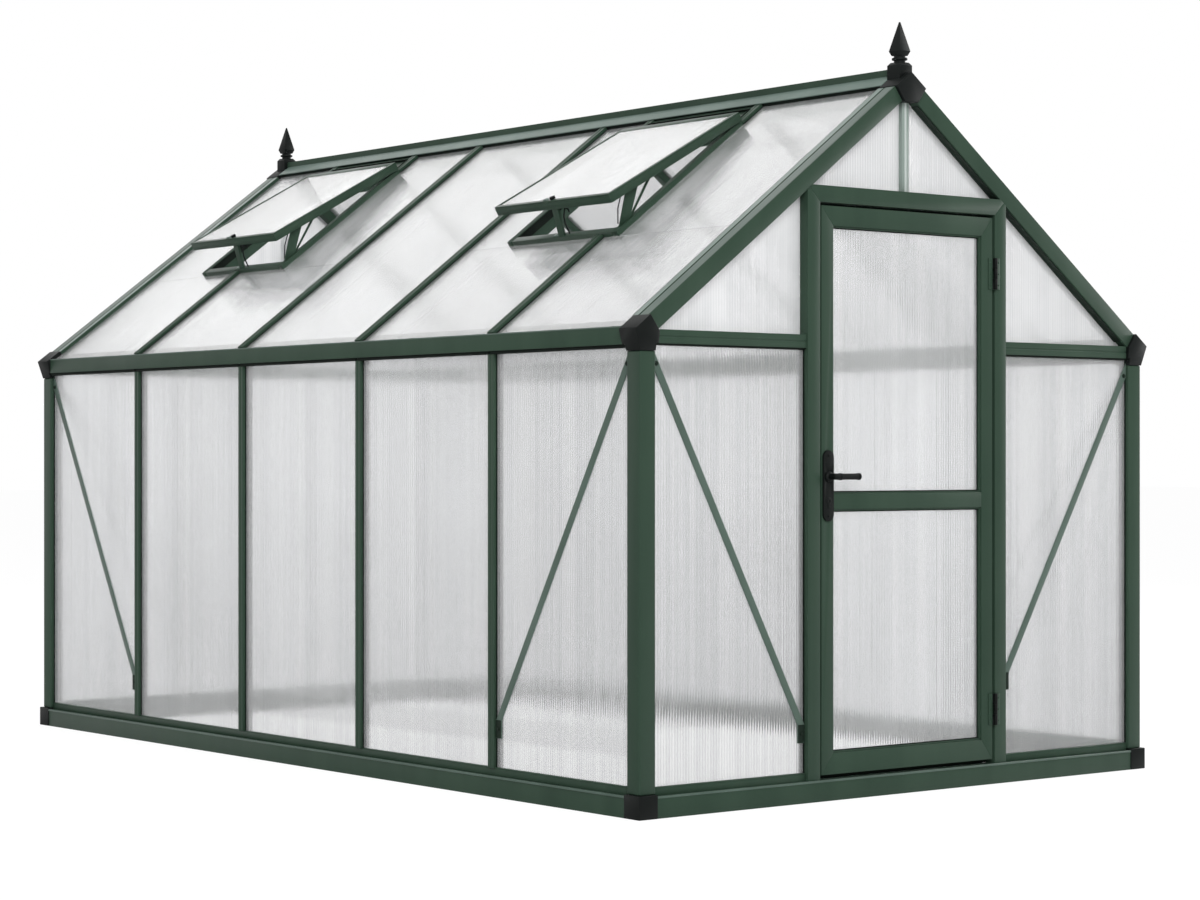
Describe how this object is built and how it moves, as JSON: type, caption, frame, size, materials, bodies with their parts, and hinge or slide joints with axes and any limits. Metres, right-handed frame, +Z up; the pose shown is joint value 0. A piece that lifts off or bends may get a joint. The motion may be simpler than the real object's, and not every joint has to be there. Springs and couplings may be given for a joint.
{
  "type": "polycarbonate greenhouse",
  "caption": "Walk-in gabled greenhouse with green metal bars, twin-wall sheets, a hinged door in the front gable and propped roof vents.",
  "frame": {"origin": "centre of the footprint on the ground", "axes": "+Z up, ridge and length along Y, door gable facing -Y, width along X, vents on the -X slope"},
  "size_m": [1.872, 3.094, 2.018],
  "materials": {
    "green_metal": "dark green powder coat, satin",
    "black_plastic": "moulded black plastic, fine grain",
    "twin_wall_sheet": "clear twin-wall polycarbonate, fluted, pale and translucent",
    "black_hardware": "black hardware, satin"
  },
  "bodies": {
    "greenhouse": {"base_front": "green_metal", "base_back": "green_metal", "base_left": "green_metal", "base_right": "green_metal", "base_corners": "black_plastic", "wall_sills": "green_metal", "corner_posts": "green_metal", "side_bars_left": "green_metal", "side_bars_right": "green_metal", "back_bars": "green_metal", "eave_rail_left": "green_metal", "eave_rail_right": "green_metal", "gable_rails": "green_metal", "rafters_front": "green_metal", "rafters_back": "green_metal", "ridge_bar": "green_metal", "roof_bars_left": "green_metal", "roof_bars_right": "green_metal", "gable_mullions": "green_metal", "eave_connectors": "black_plastic", "ridge_connectors": "black_plastic", "finials": "black_plastic", "braces": "green_metal", "door_jambs": "green_metal", "door_header": "green_metal", "door_stops": "green_metal", "sheets_left": "twin_wall_sheet", "sheets_right": "twin_wall_sheet", "sheets_back": "twin_wall_sheet", "sheets_front": "twin_wall_sheet", "gable_sheets": "twin_wall_sheet", "roof_sheets_left": "twin_wall_sheet", "roof_sheets_right": "twin_wall_sheet", "vent_curbs": "green_metal", "vent_sashes": "green_metal", "vent_panes": "twin_wall_sheet", "vent_stays": "green_metal", "vent_knobs": "black_plastic", "hinge_jamb_leaves": "black_hardware"},
    "door": {"door_stiles": "green_metal", "door_rails": "green_metal", "door_panes": "twin_wall_sheet", "handle_plates": "black_hardware", "hinge_door_leaves": "black_hardware"},
    "handle": {"handle_lever": "black_hardware"}
  },
  "joints": [
    {"name": "door_swing", "type": "hinge", "parent": "greenhouse", "child": "door", "pos_m": [0.3185, -1.531, 0.8], "axis": [0, 0, 1], "range_deg": [0, 105]},
    {"name": "lever_turn", "type": "hinge", "parent": "door", "child": "handle", "pos_m": [-0.294, -1.508, 0.82656], "axis": [0, 1, 0], "range_deg": [0, 45], "stiffness_Nm_per_rad": 0.6, "springref_deg": -11.46}
  ]
}
